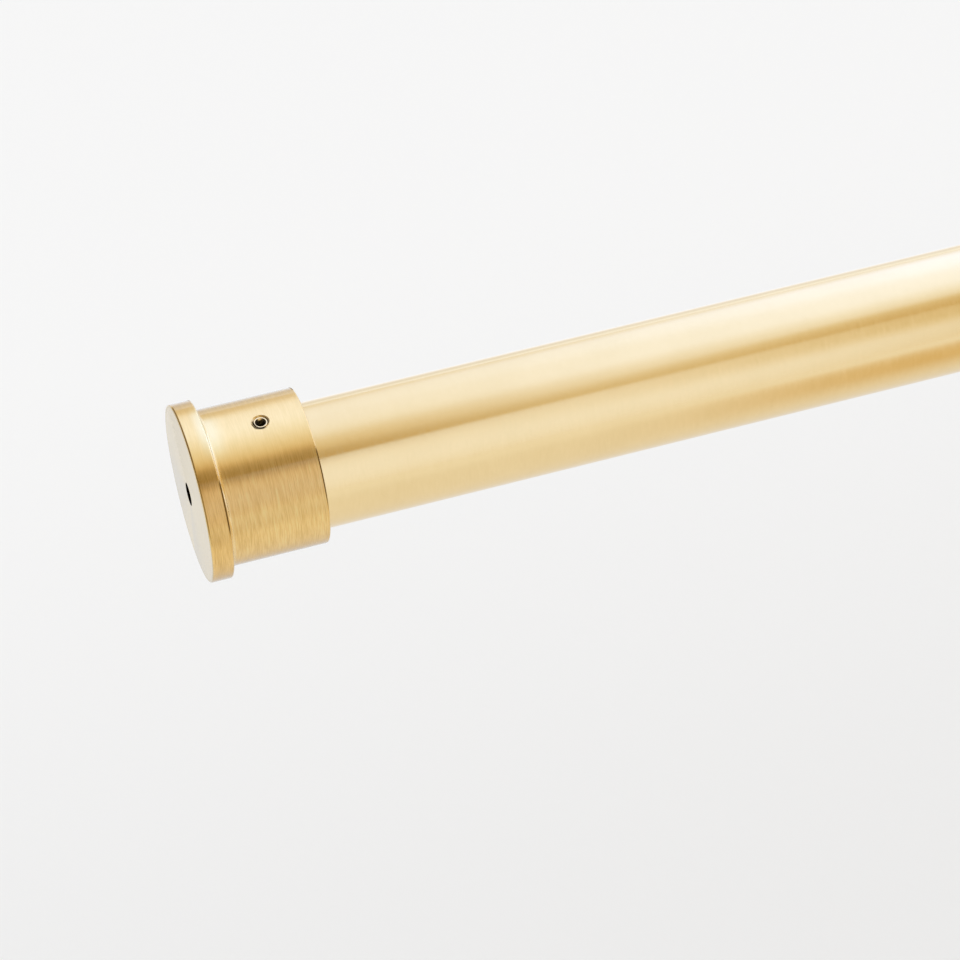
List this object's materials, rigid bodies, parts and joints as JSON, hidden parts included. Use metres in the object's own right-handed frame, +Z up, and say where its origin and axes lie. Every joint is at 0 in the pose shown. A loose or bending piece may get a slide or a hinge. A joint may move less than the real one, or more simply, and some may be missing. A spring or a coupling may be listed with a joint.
{
  "type": "curtain rod with brackets",
  "caption": "Telescoping round curtain rod held between facing walls by a flanged cup bracket at each end, locked by set screws.",
  "frame": {"origin": "centre of the left bracket's wall face, on the axis of its wall-screw hole", "axes": "+X along the rod from the left wall to the right wall, +Z up through the set screws, +Y away from the room's viewer"},
  "size_m": [0.762, 0.0446, 0.0446],
  "materials": {
    "brushed_brass": "brushed round the bracket, lacquered satin",
    "satin_brass_tube": "smooth lacquered satin",
    "plated_steel": "nickel-plated, smooth",
    "nylon": "natural moulded nylon"
  },
  "bodies": {
    "left_bracket": {"left_bracket": "brushed_brass"},
    "left_set_screw": {"left_set_screw": "plated_steel"},
    "outer_tube": {"outer_tube": "satin_brass_tube", "mouth_bush": "nylon"},
    "inner_tube": {"inner_tube": "satin_brass_tube", "tail_glide": "nylon"},
    "right_bracket": {"right_bracket": "brushed_brass", "adapter_sleeve": "nylon"},
    "right_set_screw": {"right_set_screw": "plated_steel"}
  },
  "joints": [
    {"name": "left_set_screw_out", "type": "slide", "parent": "left_bracket", "child": "left_set_screw", "axis": [0, 0, 1], "range_m": [0, 0.0021]},
    {"name": "left_cup_slide", "type": "slide", "parent": "left_bracket", "child": "outer_tube", "axis": [1, 0, 0], "range_m": [0, 0.022]},
    {"name": "telescope", "type": "slide", "parent": "outer_tube", "child": "inner_tube", "axis": [1, 0, 0], "range_m": [-0.0508, 0.4572]},
    {"name": "right_cup_slide", "type": "slide", "parent": "inner_tube", "child": "right_bracket", "axis": [1, 0, 0], "range_m": [0, 0.022]},
    {"name": "right_set_screw_out", "type": "slide", "parent": "right_bracket", "child": "right_set_screw", "axis": [0, 0, 1], "range_m": [0, 0.0021]}
  ]
}
